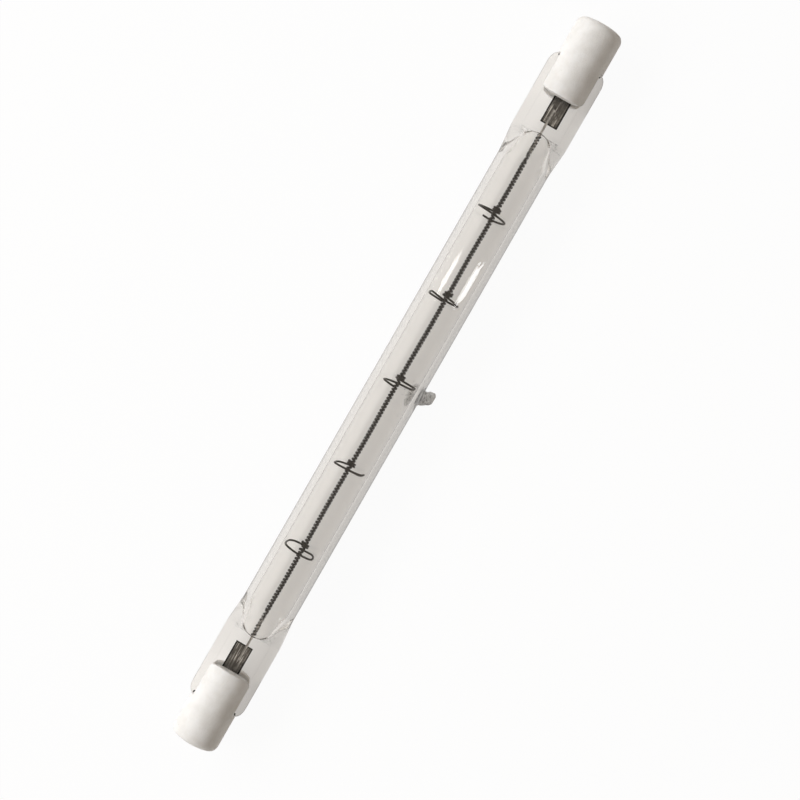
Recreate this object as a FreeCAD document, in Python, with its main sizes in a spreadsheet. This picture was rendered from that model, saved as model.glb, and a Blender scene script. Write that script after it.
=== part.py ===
import FreeCAD, Part
import Sketcher
import math
import os

# Linear halogen bulb with recessed contacts, lying on its tube and its exhaust tip.
# The lamp's axis runs along X and the flat faces of its press seals look up.
# All lengths are in millimetres.

doc = FreeCAD.newDocument("LinearHalogenBulb")

# Driving sizes: name, value, what it measures

SIZES = [
    ("overall_length", 117.6, "end face to end face of the ceramic caps"),
    ("contact_depth", 1.7, "end face down to the contact"),
    ("tube_diameter", 8.0, "outside of the quartz tube"),
    ("tube_wall", 1.0, "wall of the quartz tube"),
    ("tip_radius", 1.0, "rounded end of the exhaust tip"),
    ("tip_shown", 1.8, "how far the tip stands out beside the tube, seen from above"),
    ("tip_root_radius", 1.3, "exhaust tip where it leaves the wall"),
    ("tip_flare_radius", 2.1, "flare of the wall round the tip, at the wall"),
    ("tip_flare_rise", 0.75, "flare of the wall round the tip, above the wall"),
    ("tip_channel_radius", 0.5, "funnel left inside the tip, at the bore"),
    ("tip_channel_end", 0.12, "funnel left inside the tip, at its closed end"),
    ("tip_solid_end", 1.4, "solid quartz between the funnel and the tip's end"),
    ("neck_length", 5.0, "from the round tube to the flat of the press seal"),
    ("seal_width", 8.7, "press seal across its flat"),
    ("seal_length", 11.1, "flat length of the press seal"),
    ("seal_rib_height", 2.8, "press seal over its two edge ribs"),
    ("seal_web_height", 2.1, "press seal over its middle web"),
    ("seal_rib_width", 0.85, "edge rib of the seal at its top"),
    ("seal_rib_slope", 0.5, "slope from a rib down to the web"),
    ("seal_corner_reach", 1.9, "rounded end corner of the seal, along the lamp"),
    ("seal_corner_depth", 1.1, "rounded end corner of the seal, across the lamp"),
    ("seal_corner_bulge", 0.72, "share of the corner's square that its arc spans halfway"),
    ("bore_end_inset", 0.15, "how far the bore's pressed end runs into the flat"),
    ("bore_end_height", 0.9, "pressed end of the bore, its height"),
    ("bore_end_width", 2.6, "pressed end of the bore, its width"),
    ("cap_diameter", 7.2, "ceramic cap"),
    ("cap_round_length", 6.15, "full round part of the cap, down to its slot"),
    ("cap_tongue_length", 5.7, "tongues that grip the press seal"),
    ("cap_tongue_corner", 1.4, "rounded corner of a tongue"),
    ("cap_edge_length", 1.1, "bevel round the end face, along the lamp"),
    ("cap_edge_depth", 0.75, "bevel round the end face, across the lamp"),
    ("cap_edge_share", 0.29, "share of the bevel at which its two slopes meet"),
    ("slot_clearance", 0.1, "cement film between a seal rib and the slot"),
    ("recess_diameter", 3.2, "contact recess in the end face"),
    ("contact_diameter", 2.7, "head of the contact"),
    ("contact_head", 0.6, "thickness of the contact's head"),
    ("contact_crown", 0.2, "bevel that crowns the contact's face"),
    ("contact_clearance", 0.05, "gap between the contact and its pocket in the cap"),
    ("shank_diameter", 1.5, "shank of the contact"),
    ("shank_length", 1.9, "shank of the contact below its head"),
    ("lead_socket", 1.2, "hole in the shank that takes the outer lead"),
    ("cement_bed", 0.3, "cement between the seal's end and the slot's floor"),
    ("cement_inset", 0.25, "cement set back from the cap's outside"),
    ("cement_recess", 0.7, "cement kept back from the ends of the tongues"),
    ("lead_diameter", 0.36, "inner lead that carries the coil"),
    ("outer_lead_diameter", 0.6, "outer lead from the foil to the contact"),
    ("weld_flat", 0.04, "flat pressed on the inner lead where it is welded to the foil"),
    ("inner_lead_overlap", 2.4, "inner lead on the foil"),
    ("outer_lead_overlap", 2.0, "outer lead on the foil"),
    ("inner_lead_in_coil", 3.0, "inner lead inside the end of the coil"),
    ("foil_length", 8.0, "sealing foil"),
    ("foil_width", 2.7, "sealing foil"),
    ("foil_thickness", 0.03, "sealing foil"),
    ("foil_inset", 1.75, "start of the foil from the start of the flat"),
    ("foil_offset", 0.35, "foil off the lamp's axis, sideways"),
    ("coil_diameter", 0.84, "outside of the coiled coil"),
    ("coil_end_gap", 0.2, "end of the coil to the pressed end of the bore"),
    ("coil_grip", 0.01, "gap between the coil and what is in or round it"),
    ("support_from_end", 13.9, "outermost filament support from the end of the coil"),
    ("support_wire", 0.28, "wire of a filament support"),
    ("support_clearance", 0.55, "outer turns of a filament support to the bore"),
    ("support_pitch", 0.62, "outer turns of a filament support"),
    ("support_grip_pitch", 0.34, "turns of a filament support on the coil"),
    ("support_grip_turns", 1.5, "turns of a filament support on the coil"),
    ("support_arm_turns", 0.6, "turn that spirals out from the coil"),
    ("support_outer_turns", 1.75, "outer turns of a filament support"),
]

sheet = doc.addObject("Spreadsheet::Sheet", "Sizes")
for row, (alias, number, note) in enumerate(SIZES, start=1):
    sheet.set(f"A{row}", note)
    sheet.set(f"B{row}", str(number))
    sheet.setAlias(f"B{row}", alias)
doc.recompute()

# Places that follow from the sizes, measured from the middle of the lamp's axis

PLACES = [
    ("tube_radius", "Sizes.tube_diameter / 2"),
    ("bore_radius", "tube_radius - Sizes.tube_wall"),
    ("cap_radius", "Sizes.cap_diameter / 2"),
    ("end_face", "Sizes.overall_length / 2"),
    ("edge_break", "end_face - Sizes.cap_edge_share * Sizes.cap_edge_length"),
    ("contact_face", "end_face - Sizes.contact_depth"),
    ("contact_seat", "contact_face - Sizes.contact_head"),
    ("shank_end", "contact_seat - Sizes.shank_length"),
    ("head_pocket_radius", "Sizes.contact_diameter / 2 + Sizes.contact_clearance"),
    ("shank_hole_radius", "Sizes.shank_diameter / 2 + Sizes.contact_clearance"),
    ("lead_end", "shank_end + Sizes.lead_socket"),
    ("slot_floor", "end_face - Sizes.cap_round_length"),
    ("tongue_end", "slot_floor - Sizes.cap_tongue_length"),
    ("half_slot", "Sizes.seal_rib_height / 2 + Sizes.slot_clearance"),
    ("half_tongue", "sqrt(cap_radius ^ 2 - half_slot ^ 2)"),
    ("cement_radius", "cap_radius - Sizes.cement_inset"),
    ("cement_start", "tongue_end + Sizes.cement_recess"),
    ("seal_end", "slot_floor - Sizes.cement_bed"),
    ("flat_start", "seal_end - Sizes.seal_length"),
    ("neck_start", "flat_start - Sizes.neck_length"),
    ("bore_end", "flat_start + Sizes.bore_end_inset"),
    ("foil_start", "flat_start + Sizes.foil_inset"),
    ("foil_end", "foil_start + Sizes.foil_length"),
    ("foil_top", "Sizes.weld_flat - Sizes.lead_diameter / 2"),
    ("coil_end", "bore_end - Sizes.coil_end_gap"),
    ("support_spacing", "(coil_end - Sizes.support_from_end) / 2"),
    ("support_radius", "bore_radius - Sizes.support_clearance"),
    ("inner_lead_start", "coil_end - Sizes.inner_lead_in_coil"),
    ("inner_lead_end", "foil_start + Sizes.inner_lead_overlap"),
    ("outer_lead_start", "foil_end - Sizes.outer_lead_overlap"),
    ("tip_root", "tube_radius - Sizes.tube_wall / 2"),
    ("tip_drop", "tube_radius - Sizes.tip_radius"),
    ("tip_side", "tube_radius + Sizes.tip_shown - Sizes.tip_radius"),
    ("tip_arm", "sqrt(tip_drop ^ 2 + tip_side ^ 2)"),
    ("tip_channel_start", "bore_radius - Sizes.tube_wall / 2"),
    ("tip_channel_length", "tip_arm + Sizes.tip_radius - Sizes.tip_solid_end - tip_channel_start"),
    ("middle_shift", "(tube_radius + Sizes.tip_shown - Sizes.seal_width / 2) / 2"),
]

places = doc.addObject("App::VarSet", "Places")
for name, expression in PLACES:
    places.addProperty("App::PropertyFloat", name)
    places.setExpression(name, expression)
places.addProperty("App::PropertyAngle", "tip_angle")
places.setExpression("tip_angle", "atan(tip_drop / tip_side)")
doc.recompute()

SIDES = {"left": 180, "right": 0}
SUPPORT_PHASES = [200, 160, 20, 340, 300]
UPRIGHT = FreeCAD.Vector(0, 0, 1)
ALONG = FreeCAD.Vector(1, 0, 0)
ONTO_AXIS = FreeCAD.Rotation(FreeCAD.Vector(0, 1, 0), 90)

pieces = []


def value(expression):
    """What an expression gives with the present sizes."""
    result = sheet.evalExpression(expression)
    return float(getattr(result, "Value", result))


def size(alias):
    return value(f"Sizes.{alias}")


def place(name):
    return value(f"Places.{name}")


def add(kind, name, **links):
    thing = doc.addObject(kind, name)
    for prop, link in links.items():
        setattr(thing, prop, link)
    return thing


def rod(name, start, end, diameter):
    """A cylinder along the lamp's axis between two places."""
    cylinder = add("Part::Cylinder", name, Placement=FreeCAD.Placement(FreeCAD.Vector(), ONTO_AXIS))
    cylinder.setExpression("Radius", f"({diameter}) / 2")
    cylinder.setExpression("Height", f"({end}) - ({start})")
    cylinder.setExpression("Placement.Base.x", start)
    return cylinder


def block(name, low, high):
    """A box between two corners."""
    box = add("Part::Box", name)
    for side, axis, near, far in zip(("Length", "Width", "Height"), "xyz", low, high):
        box.setExpression(side, f"({far}) - ({near})")
        box.setExpression(f"Placement.Base.{axis}", near)
    return box


def feature(name, shape):
    return add("Part::Feature", name, Shape=shape)


def keep(thing, label, turn=0, along="0"):
    """Label a sub-part, lay it in the lamp's rest pose and keep it for export."""
    thing.Label = label
    thing.Placement = FreeCAD.Placement(FreeCAD.Vector(), FreeCAD.Rotation(UPRIGHT, turn))
    thing.setExpression("Placement.Base.x", along)
    thing.setExpression("Placement.Base.y", "Places.middle_shift")
    thing.setExpression("Placement.Base.z", "Places.tube_radius")
    pieces.append(thing)


def turned_body(name, corners):
    """A body revolved about the lamp's axis from corners given as along, radius."""
    body = add("PartDesign::Body", name)
    plane = next(p for p in body.Origin.OriginFeatures if p.Role == "XZ_Plane")
    sketch = body.newObject("Sketcher::SketchObject", name + "Profile")
    sketch.AttachmentSupport = [(plane, "")]
    sketch.MapMode = "FlatFace"
    points = [FreeCAD.Vector(value(along), value(radius), 0) for along, radius in corners]
    for index, point in enumerate(points):
        sketch.addGeometry(Part.LineSegment(point, points[(index + 1) % len(points)]), False)
    for index, (along, radius) in enumerate(corners):
        before = (index - 1) % len(points)
        sketch.addConstraint(Sketcher.Constraint("Coincident", before, 2, index, 1))
        for kind, expression, now in (
            ("DistanceX", along, points[index].x),
            ("DistanceY", radius, points[index].y),
        ):
            number = sketch.addConstraint(Sketcher.Constraint(kind, -1, 1, index, 1, now))
            sketch.setExpression(f"Constraints[{number}]", expression)
    revolution = body.newObject("PartDesign::Revolution", name + "Revolution")
    revolution.Profile = sketch
    revolution.ReferenceAxis = (sketch, ["H_Axis"])
    revolution.Angle = 360
    doc.recompute()
    return body


# Quartz envelope: round tube, a press seal at each end and the exhaust tip

SECTION_POINTS = 40
NECK_STATIONS = 7
ROUND = 2.0
SEAL_SQUARENESS = 8.0
BORE_END_SQUARENESS = 3.0


def oval(x, half_width, half_height, squareness):
    """A closed outline across the axis: an ellipse at 2, squarer above that."""
    points = []
    for step in range(SECTION_POINTS):
        angle = 2 * math.pi * step / SECTION_POINTS
        across = math.cos(angle)
        up = math.sin(angle)
        reach = (abs(across) ** squareness + abs(up) ** squareness) ** (1 / squareness)
        points.append(FreeCAD.Vector(x, half_width * across / reach, half_height * up / reach))
    return Part.makePolygon(points + points[:1])


def pressed_neck(start, end, radius, half_width, half_height, squareness):
    """Quartz or hollow that leaves the tube round and is pressed flat at its end."""
    outlines = []
    for station in range(NECK_STATIONS):
        share = station / (NECK_STATIONS - 1)
        pressed = share**3 * (10 - 15 * share + 6 * share**2)
        outlines.append(
            oval(
                start + share * (end - start),
                radius + pressed * (half_width - radius),
                radius + pressed * (half_height - radius),
                ROUND + pressed * (squareness - ROUND),
            )
        )
    return Part.makeLoft(outlines, True, True)


def web_cutter(side):
    """The jaw's imprint that leaves an edge rib along each side of the web."""
    web = size("seal_web_height") / 2
    top = web + 2 * (size("seal_rib_height") / 2 - web)
    slope = size("seal_rib_slope")
    near = place("flat_start")
    far = place("seal_end") + slope
    half = size("seal_width") / 2 - size("seal_rib_width") - slope
    flared = half + 2 * slope
    imprint = Part.makeWedge(near, web, -half, -flared, near - 2 * slope, far, top, half, flared, far)
    return imprint.rotate(FreeCAD.Vector(), ALONG, 90 * side)


def corner_cutter(side):
    """What the rounded corner at the end of the seal lacks."""
    end = place("seal_end")
    edge = size("seal_width") / 2
    reach = size("seal_corner_reach")
    depth = size("seal_corner_depth")
    bulge = size("seal_corner_bulge")
    out = end + depth
    away = edge + depth
    low = -size("seal_rib_height")

    def corner(x, y):
        return FreeCAD.Vector(x, side * y, low)

    arc = Part.Arc(
        corner(end - reach, edge),
        corner(end - reach * (1 - bulge), edge - depth * (1 - bulge)),
        corner(end, edge - depth),
    )
    rest = [
        corner(end, edge - depth),
        corner(out, edge - depth),
        corner(out, away),
        corner(end - reach, away),
        corner(end - reach, edge),
    ]
    outline = Part.Wire([arc.toShape()] + Part.makePolygon(rest).Edges)
    return Part.Face(outline).extrude(UPRIGHT * (-2 * low))


def seal_flat():
    """The pressed flat of one seal, with its ribs and its rounded end corners."""
    outline = oval(
        place("flat_start"), size("seal_width") / 2, size("seal_rib_height") / 2, SEAL_SQUARENESS
    )
    flat = Part.Face(outline).extrude(ALONG * size("seal_length"))
    return flat.cut([cutter(side) for cutter in (web_cutter, corner_cutter) for side in (-1, 1)])


def press_seal():
    """Neck and flat of one press seal, from the round tube to the cut end."""
    neck = pressed_neck(
        place("neck_start"),
        place("flat_start"),
        place("tube_radius"),
        size("seal_width") / 2,
        size("seal_rib_height") / 2,
        SEAL_SQUARENESS,
    )
    return neck.cut([web_cutter(-1), web_cutter(1)]).fuse(seal_flat())


def tip_piece(kind, name, distance):
    """A primitive on the exhaust tip's axis, which leans down beside the tube."""
    thing = add(kind, name, Placement=FreeCAD.Placement(FreeCAD.Vector(), FreeCAD.Rotation(ALONG, 90)))
    thing.setExpression("Placement.Rotation.Angle", "90 deg + Places.tip_angle")
    thing.setExpression("Placement.Base.y", f"-({distance}) * cos(Places.tip_angle)")
    thing.setExpression("Placement.Base.z", f"-({distance}) * sin(Places.tip_angle)")
    return thing


def tip_cone(name, distance, length, root, end):
    cone = tip_piece("Part::Cone", name, distance)
    cone.setExpression("Radius1", root)
    cone.setExpression("Radius2", end)
    cone.setExpression("Height", length)
    return cone


def inner_lead(name):
    """Tungsten rod with a pressed flat where it is welded to the foil."""
    wire = rod(name + "Wire", "Places.inner_lead_start", "Places.inner_lead_end", "Sizes.lead_diameter")
    return add("Part::Cut", name, Base=wire, Tool=weld_flat(name + "Flat"))


def outer_lead(name):
    """Molybdenum rod from the foil out to the contact, pressed flat on the foil."""
    wire = rod(name + "Wire", "Places.outer_lead_start", "Places.lead_end", "Sizes.outer_lead_diameter")
    return add("Part::Cut", name, Base=wire, Tool=weld_flat(name + "Flat"))


def weld_flat(name):
    """The space over the foil's length that lies below the foil's top."""
    reach = "Sizes.outer_lead_diameter"
    low = ("Places.foil_start", f"-{reach}", f"-{reach}")
    return block(name, low, ("Places.foil_end", reach, "Places.foil_top"))


def foil(name):
    low = (
        "Places.foil_start",
        "-Sizes.foil_offset - Sizes.foil_width / 2",
        "Places.foil_top - Sizes.foil_thickness",
    )
    high = ("Places.foil_end", "-Sizes.foil_offset + Sizes.foil_width / 2", "Places.foil_top")
    return block(name, low, high)


def turned_about(thing, turn):
    thing.Placement = FreeCAD.Placement(FreeCAD.Vector(), FreeCAD.Rotation(UPRIGHT, turn))
    return thing


tube = rod("Tube", "-Places.neck_start", "Places.neck_start", "Sizes.tube_diameter")
tip = tip_cone(
    "Tip", "Places.tip_root", "Places.tip_arm - Places.tip_root", "Sizes.tip_root_radius", "Sizes.tip_radius"
)
flare = tip_cone(
    "TipFlare",
    "Places.tip_root",
    "Places.tube_radius + Sizes.tip_flare_rise - Places.tip_root",
    "Sizes.tip_flare_radius",
    "Sizes.tip_radius",
)
tip_end = tip_piece("Part::Sphere", "TipEnd", "Places.tip_arm")
tip_end.setExpression("Radius", "Sizes.tip_radius")

seals = [turned_about(feature(f"Seal{side}", press_seal()), turn) for side, turn in SIDES.items()]
blank = add("Part::MultiFuse", "EnvelopeBlank", Shapes=[tube, tip, flare, tip_end] + seals)

bore = rod("Bore", "-Places.neck_start", "Places.neck_start", "2 * Places.bore_radius")
channel = tip_cone(
    "TipChannel",
    "Places.tip_channel_start",
    "Places.tip_channel_length",
    "Sizes.tip_channel_radius",
    "Sizes.tip_channel_end",
)
hollows = [bore, channel]
for side, turn in SIDES.items():
    bore_end = pressed_neck(
        place("neck_start"),
        place("bore_end"),
        place("bore_radius"),
        size("bore_end_width") / 2,
        size("bore_end_height") / 2,
        BORE_END_SQUARENESS,
    )
    hollows.append(turned_about(feature(f"BoreEnd{side}", bore_end), turn))
    seats = [
        inner_lead(f"InnerLeadSeat{side}"),
        foil(f"FoilSeat{side}"),
        outer_lead(f"OuterLeadSeat{side}"),
    ]
    hollows.append(turned_about(add("Part::MultiFuse", f"LeadSeats{side}", Shapes=seats), turn))
hollow = add("Part::MultiFuse", "EnvelopeHollow", Shapes=hollows)
envelope = add("Part::Cut", "QuartzEnvelope", Base=blank, Tool=hollow)
keep(envelope, "quartz_envelope")

# Filament: the slender tube that the coiled coil fills, hollow down its middle

coil_outside = rod("CoilOutside", "-Places.coil_end", "Places.coil_end", "Sizes.coil_diameter")
coil_middle = rod(
    "CoilMiddle", "-Places.coil_end", "Places.coil_end", "Sizes.lead_diameter + 2 * Sizes.coil_grip"
)
keep(add("Part::Cut", "Filament", Base=coil_outside, Tool=coil_middle), "filament")

# Filament supports: one wire wound tight on the coil that spirals out towards the bore

SECTIONS_PER_TURN = 18
WIRE_SIDES = 4


def support_wire():
    """The wire as a loft through its sections, from the coil out to its last outer turn."""
    wire = size("support_wire")
    grip_radius = (size("coil_diameter") + wire) / 2 + size("coil_grip")
    outer_radius = place("support_radius") - wire / 2
    grip_pitch = size("support_grip_pitch")
    grip_turns = size("support_grip_turns")
    arm_turns = size("support_arm_turns")
    turns = grip_turns + arm_turns + size("support_outer_turns")
    steps = round(turns * SECTIONS_PER_TURN)
    along = 0.0
    sections = []
    for step in range(steps + 1):
        turn = turns * step / steps
        spread = min(1.0, max(0.0, (turn - grip_turns) / arm_turns))
        spread = spread * spread * (3 - 2 * spread)
        radius = grip_radius + spread * (outer_radius - grip_radius)
        outward = FreeCAD.Rotation(ALONG, 360 * turn).multVec(FreeCAD.Vector(0, 1, 0))
        middle = outward * radius - ALONG * along
        corners = []
        for side in range(WIRE_SIDES):
            angle = 2 * math.pi * side / WIRE_SIDES
            corner = outward * math.cos(angle) + ALONG * math.sin(angle)
            corners.append(middle + corner * (wire / 2))
        sections.append(Part.makePolygon(corners + corners[:1]))
        pitch = grip_pitch + spread * (size("support_pitch") - grip_pitch)
        along += pitch * turns / steps
    wound = Part.makeLoft(sections, True, True)
    return wound.translate(ALONG * (along / 2))


for number, phase in enumerate(SUPPORT_PHASES, start=1):
    wound = support_wire().rotate(FreeCAD.Vector(), ALONG, phase)
    steps_off_middle = number - (len(SUPPORT_PHASES) + 1) / 2
    support = feature(f"Support{number}", wound)
    keep(support, f"filament_support_{number}", along=f"{steps_off_middle} * Places.support_spacing")

# Leads and foils, from the coil out to the contacts

for side, turn in SIDES.items():
    keep(inner_lead(f"InnerLead{side}"), f"inner_lead_{side}", turn)
    keep(foil(f"Foil{side}"), f"sealing_foil_{side}", turn)
    keep(outer_lead(f"OuterLead{side}"), f"outer_lead_{side}", turn)

# Ceramic caps: a turned blank with the slot that grips the press seal between two tongues


def tongue_corner(name, side):
    """What the rounded corner of both tongues lacks on one side of the cap."""
    centre_along = "Places.tongue_end + Sizes.cap_tongue_corner"
    centre_across = "(Places.half_tongue - Sizes.cap_tongue_corner)"
    near, far = sorted((f"{side} * {centre_across}", f"{side} * Places.cap_radius"), key=value)
    low = ("Places.tongue_end - Sizes.cap_tongue_corner", near, "-Places.cap_radius")
    square = block(name + "Square", low, (centre_along, far, "Places.cap_radius"))
    round_part = add("Part::Cylinder", name + "Round")
    round_part.setExpression("Radius", "Sizes.cap_tongue_corner")
    round_part.setExpression("Height", "Sizes.cap_diameter")
    round_part.setExpression("Placement.Base.x", centre_along)
    round_part.setExpression("Placement.Base.y", f"{side} * {centre_across}")
    round_part.setExpression("Placement.Base.z", "-Places.cap_radius")
    return add("Part::Cut", name, Base=square, Tool=round_part)


def ceramic_cap(name):
    body = turned_body(
        name + "Turned",
        [
            ("Places.tongue_end", "0"),
            ("Places.tongue_end", "Places.cap_radius"),
            ("Places.end_face - Sizes.cap_edge_length", "Places.cap_radius"),
            ("Places.edge_break", "Places.cap_radius - Sizes.cap_edge_share * Sizes.cap_edge_depth"),
            ("Places.end_face", "Places.cap_radius - Sizes.cap_edge_depth"),
            ("Places.end_face", "Sizes.recess_diameter / 2"),
            ("Places.contact_face", "Sizes.recess_diameter / 2"),
            ("Places.contact_face", "Places.head_pocket_radius"),
            ("Places.contact_seat", "Places.head_pocket_radius"),
            ("Places.contact_seat", "Places.shank_hole_radius"),
            ("Places.slot_floor", "Places.shank_hole_radius"),
            ("Places.slot_floor", "0"),
        ],
    )
    side = "Sizes.cap_diameter"
    low = ("Places.tongue_end - Sizes.cap_tongue_corner", f"-{side}", "-Places.half_slot")
    slot = block(name + "Slot", low, ("Places.slot_floor", side, "Places.half_slot"))
    corners = [tongue_corner(name + "CornerNear", -1), tongue_corner(name + "CornerFar", 1)]
    opening = add("Part::MultiFuse", name + "Opening", Shapes=[slot] + corners)
    return add("Part::Cut", name, Base=body, Tool=opening)


def contact(name):
    return turned_body(
        name,
        [
            ("Places.shank_end", "Sizes.outer_lead_diameter / 2"),
            ("Places.shank_end", "Sizes.shank_diameter / 2"),
            ("Places.contact_seat", "Sizes.shank_diameter / 2"),
            ("Places.contact_seat", "Sizes.contact_diameter / 2"),
            ("Places.contact_face - Sizes.contact_crown", "Sizes.contact_diameter / 2"),
            ("Places.contact_face", "Sizes.contact_diameter / 2 - 2 * Sizes.contact_crown"),
            ("Places.contact_face", "0"),
            ("Places.lead_end", "0"),
            ("Places.lead_end", "Sizes.outer_lead_diameter / 2"),
        ],
    )


def cement(name):
    """Cement that fills the slot round the press seal, short of the tongues' ends."""
    low = ("Places.cement_start", "-Places.cap_radius", "-Places.half_slot")
    slab = block(name + "Slab", low, ("Places.slot_floor", "Places.cap_radius", "Places.half_slot"))
    limit = rod(name + "Limit", "Places.cement_start", "Places.slot_floor", "2 * Places.cement_radius")
    filling = add("Part::Common", name + "Filling", Base=slab, Tool=limit)
    lead = rod(name + "Lead", "Places.flat_start", "Places.lead_end", "Sizes.outer_lead_diameter")
    bed = add("Part::Cut", name + "Bed", Base=filling, Tool=feature(name + "Seal", seal_flat()))
    return add("Part::Cut", name, Base=bed, Tool=lead)


for side, turn in SIDES.items():
    keep(ceramic_cap(f"CeramicCap{side}"), f"ceramic_cap_{side}", turn)
    keep(contact(f"Contact{side}"), f"contact_{side}", turn)
    keep(cement(f"Cement{side}"), f"cap_cement_{side}", turn)

doc.recompute()

for thing in doc.Objects:
    if "Invalid" in thing.State or "Error" in thing.State:
        raise RuntimeError(f"{thing.Name} failed: {thing.State}")
for piece in pieces:
    shape = piece.Shape
    if shape.isNull() or not shape.isValid() or len(shape.Solids) != 1:
        raise RuntimeError(f"{piece.Label} is not one valid solid")

os.makedirs("parts", exist_ok=True)
for piece in pieces:
    piece.Shape.exportStep(f"parts/{piece.Label}.step")
    print(piece.Label, round(piece.Shape.Volume, 4), "mm3")
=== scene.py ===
# %% [markdown]
# # A linear halogen bulb
#
# The bulb is a quartz tube with a coiled filament down its middle, pinched flat and sealed
# at both ends and cemented into two white ceramic caps. It lies on its tube and on the
# small closed tip at its side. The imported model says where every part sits, and this
# lesson dresses it: smooth glass, real wire, soft ceramic edges and their finishes.

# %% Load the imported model
import math

import bpy
import bmesh
import numpy as np
from mathutils import Matrix, Vector


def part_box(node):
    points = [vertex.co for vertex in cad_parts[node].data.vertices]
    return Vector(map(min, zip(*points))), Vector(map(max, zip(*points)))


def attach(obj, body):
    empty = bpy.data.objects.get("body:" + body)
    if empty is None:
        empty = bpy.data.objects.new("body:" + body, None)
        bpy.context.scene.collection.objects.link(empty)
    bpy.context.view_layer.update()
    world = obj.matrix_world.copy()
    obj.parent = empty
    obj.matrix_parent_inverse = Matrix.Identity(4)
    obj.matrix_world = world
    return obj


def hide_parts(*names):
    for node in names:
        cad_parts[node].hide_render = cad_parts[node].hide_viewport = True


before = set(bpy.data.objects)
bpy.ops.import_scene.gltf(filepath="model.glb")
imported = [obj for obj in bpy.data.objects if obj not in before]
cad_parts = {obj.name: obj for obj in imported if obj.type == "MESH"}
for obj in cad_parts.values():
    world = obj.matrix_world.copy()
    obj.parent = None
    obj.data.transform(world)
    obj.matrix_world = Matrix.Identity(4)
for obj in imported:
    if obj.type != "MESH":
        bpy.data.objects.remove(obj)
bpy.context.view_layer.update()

# %% [markdown]
# ## One frame for every piece
#
# Each shape is worked out in millimetres from the middle of the lamp's axis, because real
# sizes are easy to read that way: x runs along the lamp, y across it and z up. One helper
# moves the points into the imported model's frame, in metres. The filament's box says where
# the axis lies, so nothing is fitted by eye.

# %% The lamp's axis
MM = 0.001
ROOT = "root"
filament_low, filament_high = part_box("filament")
LAMP_MIDDLE = np.array((filament_low + filament_high) / 2) / MM
SIDES = {"left": -1, "right": 1}


def in_frame(points):
    """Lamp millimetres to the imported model's metres."""
    return (np.asarray(points, float) + LAMP_MIDDLE) * MM


def toward(points, side):
    """Turn points made for the right end to the other end, half a turn about z."""
    return np.asarray(points, float) * (SIDES[side], SIDES[side], 1)


print("lamp's middle", LAMP_MIDDLE.round(3))

# %% [markdown]
# ## The camera, as the photographer held it
#
# The photo looks straight down on the bulb from about a quarter of a metre, turned so that
# the lamp leans 30 degrees to the right. A long lens keeps the tube's sides almost
# parallel. A camera could be aimed with a constraint, but three plain axes give the exact
# lean, so they're written into its matrix.

# %% Camera
SENSOR = 36.0
FIELD_OF_VIEW = math.radians(25)
EYE = (7.648, -0.771, 262.106)
EYE_RIGHT = (0.4973, -0.86741, -0.01737)
EYE_UP = (0.86688, 0.4976, -0.03027)
EYE_BACK = (0.0349, 0.0, 0.99939)


def new_object(name, data):
    thing = bpy.data.objects.new(name, data)
    bpy.context.scene.collection.objects.link(thing)
    return thing


camera_data = bpy.data.cameras.new("photo_camera")
camera_data.sensor_width = SENSOR
camera_data.lens = SENSOR / 2 / math.tan(FIELD_OF_VIEW / 2)
camera_data.clip_start = 0.01
camera = new_object("photo_camera", camera_data)
turn = Matrix((EYE_RIGHT, EYE_UP, EYE_BACK)).transposed().to_4x4()
camera.matrix_world = Matrix.Translation(Vector(EYE) * MM) @ turn
bpy.context.scene.camera = camera
print("lens", round(camera_data.lens, 1), "mm")

# %% [markdown]
# ## Building blocks for meshes
#
# Most of the lamp is a row of cross-sections along a line: glass skins, wires, leads and
# turned metal. One function joins such rings into a skin and closes its ends, and another
# turns points and faces into a piece that rides on the model. Shading is smooth, and edges
# above an angle stay sharp.


# %% Rings to skins
def neighbours(ring):
    """Each entry of a closed ring with the next one."""
    return list(zip(ring, [*ring[1:], ring[0]]))


def ring_faces(rows, count):
    """Quads between neighbouring rings of `count` points each."""
    faces = []
    for here in range(0, (rows - 1) * count, count):
        for k, after in neighbours(range(count)):
            faces.append((here + k, here + count + k, here + count + after, here + after))
    return faces


def closed_skin(rings):
    """Points and faces of a skin through the rings, with a fan over each end."""
    rings = np.asarray(rings, float)
    rows, count, _ = rings.shape
    points = np.vstack([rings.reshape(-1, 3), rings[0].mean(0), rings[-1].mean(0)])
    faces = ring_faces(rows, count)
    start, end, last = rows * count, rows * count + 1, (rows - 1) * count
    for k, after in neighbours(range(count)):
        faces += [(start, k, after), (end, last + after, last + k)]
    return points, faces


def outward_mesh(name, points, faces, inward=False):
    """A mesh in lamp millimetres whose faces all look out, or all in."""
    mesh = bpy.data.meshes.new(name)
    mesh.from_pydata(np.asarray(points).tolist(), [], faces)
    work = bmesh.new()
    work.from_mesh(mesh)
    bmesh.ops.recalc_face_normals(work, faces=work.faces)
    if inward:
        bmesh.ops.reverse_faces(work, faces=work.faces)
    work.to_mesh(mesh)
    work.free()
    return mesh


# %% A finished piece on its body
def move_points(mesh, change):
    """Send all points of a mesh through a function."""
    co = np.zeros(len(mesh.vertices) * 3)
    mesh.vertices.foreach_get("co", co)
    mesh.vertices.foreach_set("co", change(co.reshape(-1, 3)).ravel())


def place_piece(name, mesh, material, slot, *nodes, crease=40):
    """Move a mesh into the frame, shade it, and let it stand for its CAD nodes."""
    move_points(mesh, in_frame)
    mesh.shade_smooth()
    mesh.set_sharp_from_angle(angle=math.radians(crease))
    mesh.materials.clear()
    mesh.materials.append(material)
    mesh.update()
    piece = new_object(name, mesh)
    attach(piece, ROOT)
    if nodes:
        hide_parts(*nodes)
    print(name, len(mesh.polygons), "faces")


def place_rings(name, rings, *finish, crease=40):
    """Close rings to a skin and place it as a piece."""
    place_piece(name, outward_mesh(name, *closed_skin(rings)), *finish, crease=crease)


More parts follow.
